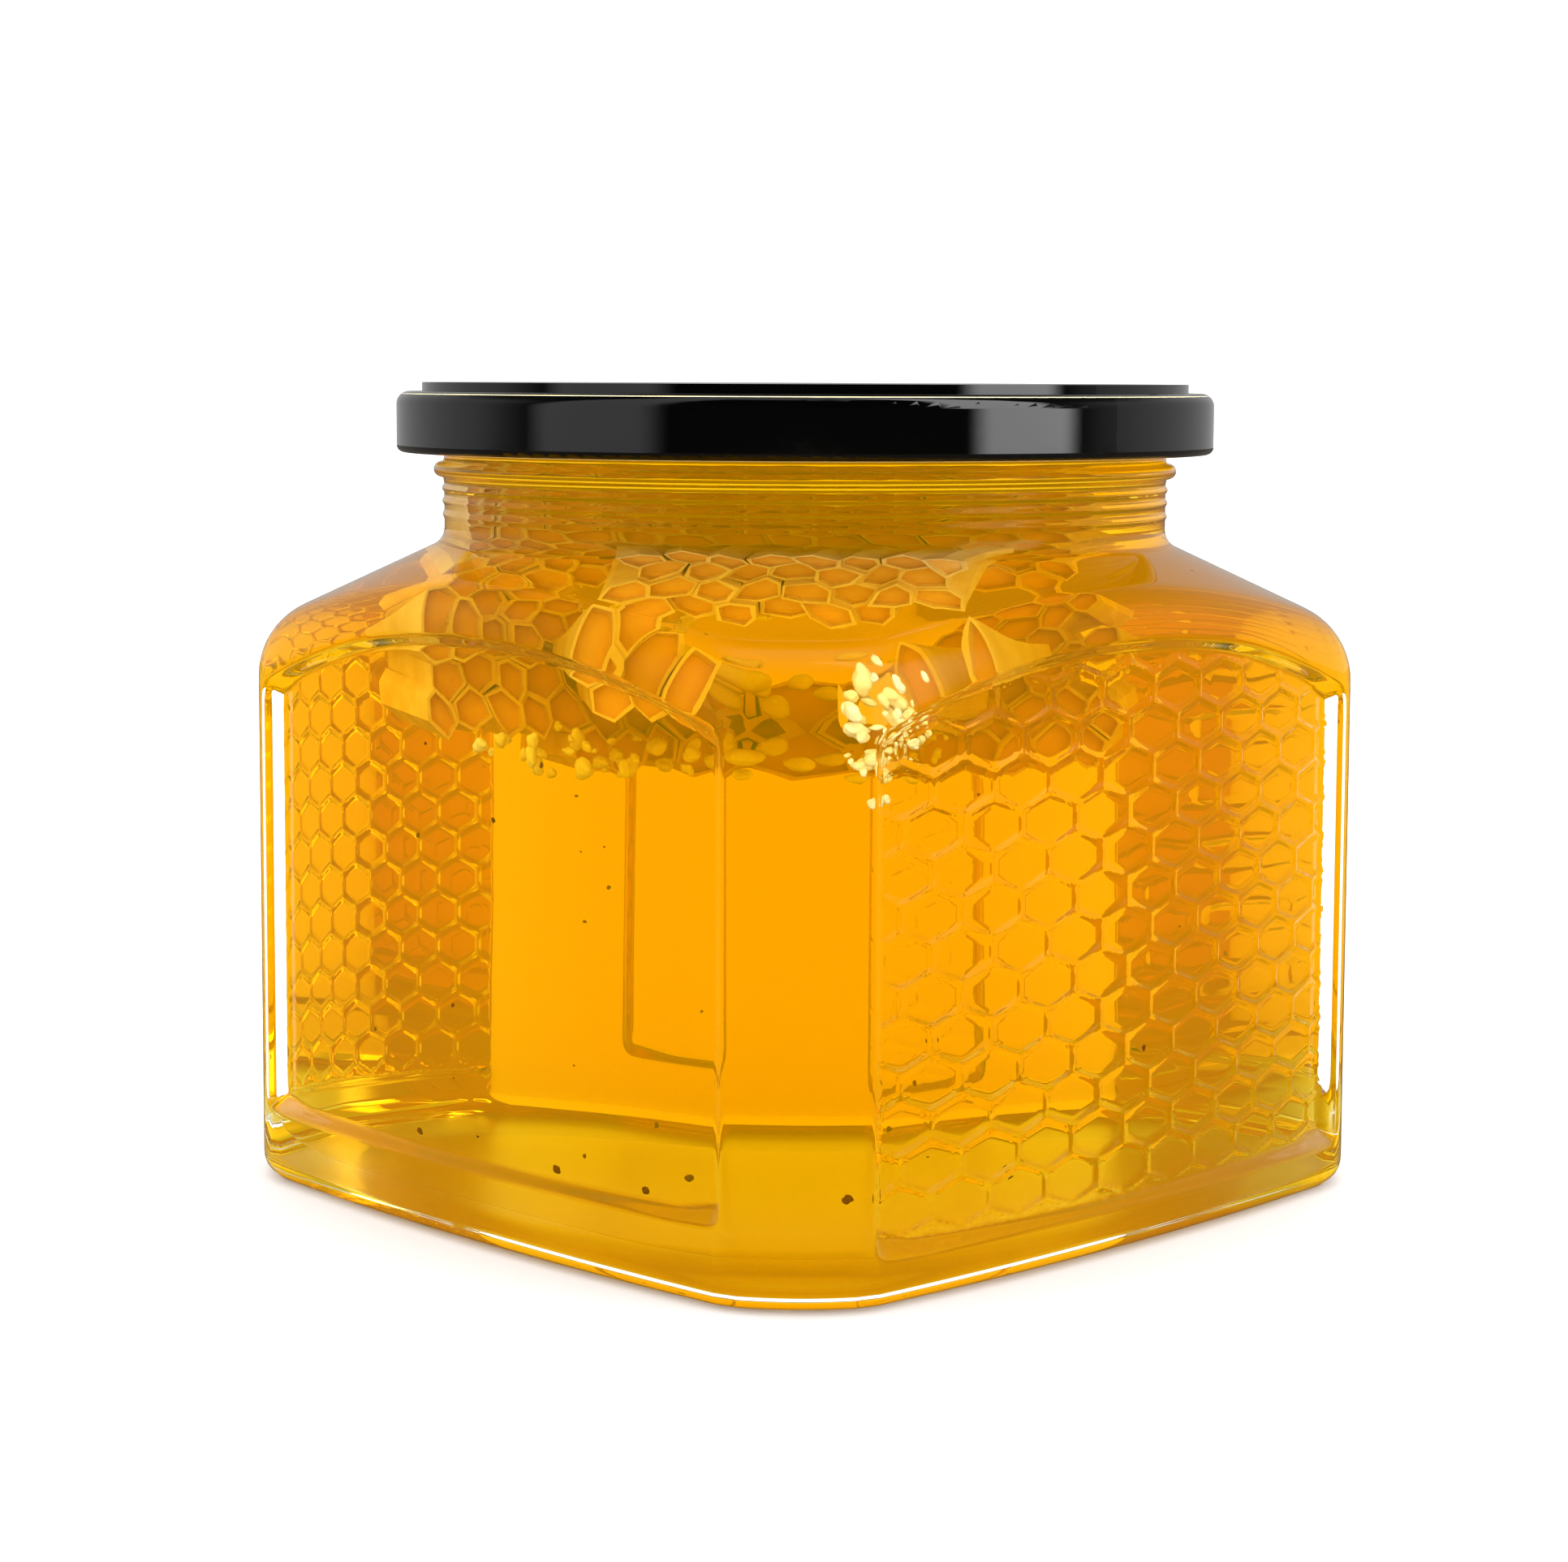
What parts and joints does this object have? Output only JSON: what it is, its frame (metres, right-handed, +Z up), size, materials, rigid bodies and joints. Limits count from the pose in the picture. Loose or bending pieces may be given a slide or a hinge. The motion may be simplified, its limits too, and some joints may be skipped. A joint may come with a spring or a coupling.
{
  "type": "honey jar",
  "caption": "Square glass jar filled with honey, with honeycomb relief on its sides, a rounded shoulder and a round black twist-off lid.",
  "frame": {"origin": "middle of the base on the floor the jar stands on", "axes": "+Z up along the neck and lid axis, -Y out of a smooth label panel, +X out of a honeycomb panel"},
  "size_m": [0.113, 0.113, 0.1014],
  "materials": {
    "glass": "gloss",
    "honey": "gloss",
    "lid": "gloss"
  },
  "bodies": {
    "root": {"jar": "glass", "honey": "honey", "lid": "lid"}
  },
  "joints": []
}
